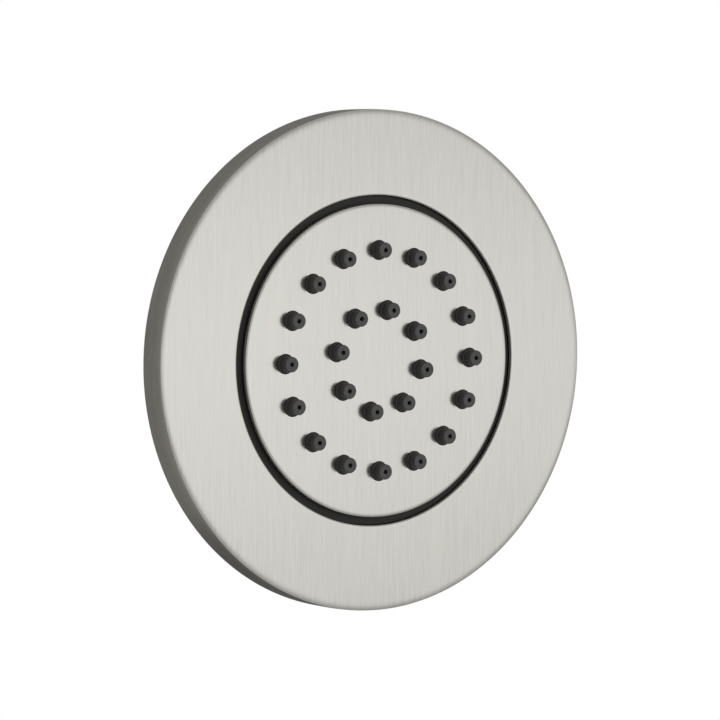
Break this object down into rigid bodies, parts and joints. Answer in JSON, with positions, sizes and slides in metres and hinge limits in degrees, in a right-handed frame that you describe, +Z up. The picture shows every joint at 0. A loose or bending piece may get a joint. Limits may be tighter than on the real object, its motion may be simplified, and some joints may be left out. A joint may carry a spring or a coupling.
{
  "type": "shower body jet",
  "caption": "Round wall-mounted shower body jet: brushed metal cover plate, swivelling spray disc on a ball joint, rings of black silicone nozzles, and a threaded inlet behind the wall.",
  "frame": {"origin": "on the water axis, at the plane of the wall that the cover plate's rim meets", "axes": "+Z is up, +Y points into the wall along the inlet, and the jet sprays along -Y"},
  "size_m": [0.126, 0.0611, 0.126],
  "materials": {
    "brushed_nickel": "vertically brushed",
    "spring_steel": "plain",
    "black_plastic": "moulded satin",
    "white_plastic": "moulded satin",
    "black_rubber": "matte",
    "black_silicone": "matte",
    "brass": "turned"
  },
  "bodies": {
    "wall_unit": {"cover_plate": "brushed_nickel", "plate_clips": "spring_steel", "recess_cup": "black_plastic", "wall_gasket": "black_rubber", "ball_nipple": "brass", "nipple_gasket": "black_rubber", "lock_washer": "spring_steel", "lock_nut": "brass", "flow_regulator": "white_plastic", "regulator_ring": "black_rubber", "inlet_filter": "white_plastic"},
    "tilt_ring": {"ball_ring": "white_plastic"},
    "turn_seal": {"ball_seal": "black_rubber"},
    "spray_head": {"spray_face": "brushed_nickel", "nozzle_mat": "black_silicone", "head_body": "black_plastic", "face_nuts": "spring_steel", "socket_nut": "black_plastic"}
  },
  "joints": [
    {"name": "head_pitch", "type": "hinge", "parent": "wall_unit", "child": "tilt_ring", "pos_m": [0, 0.00588, 0], "axis": [1, 0, 0], "range_deg": [-6, 6]},
    {"name": "head_yaw", "type": "hinge", "parent": "tilt_ring", "child": "turn_seal", "pos_m": [0, 0.00588, 0], "axis": [0, 0, 1], "range_deg": [-6, 6]},
    {"name": "head_spin", "type": "hinge", "parent": "turn_seal", "child": "spray_head", "pos_m": [0, 0.00588, 0], "axis": [0, 1, 0], "continuous": true}
  ]
}
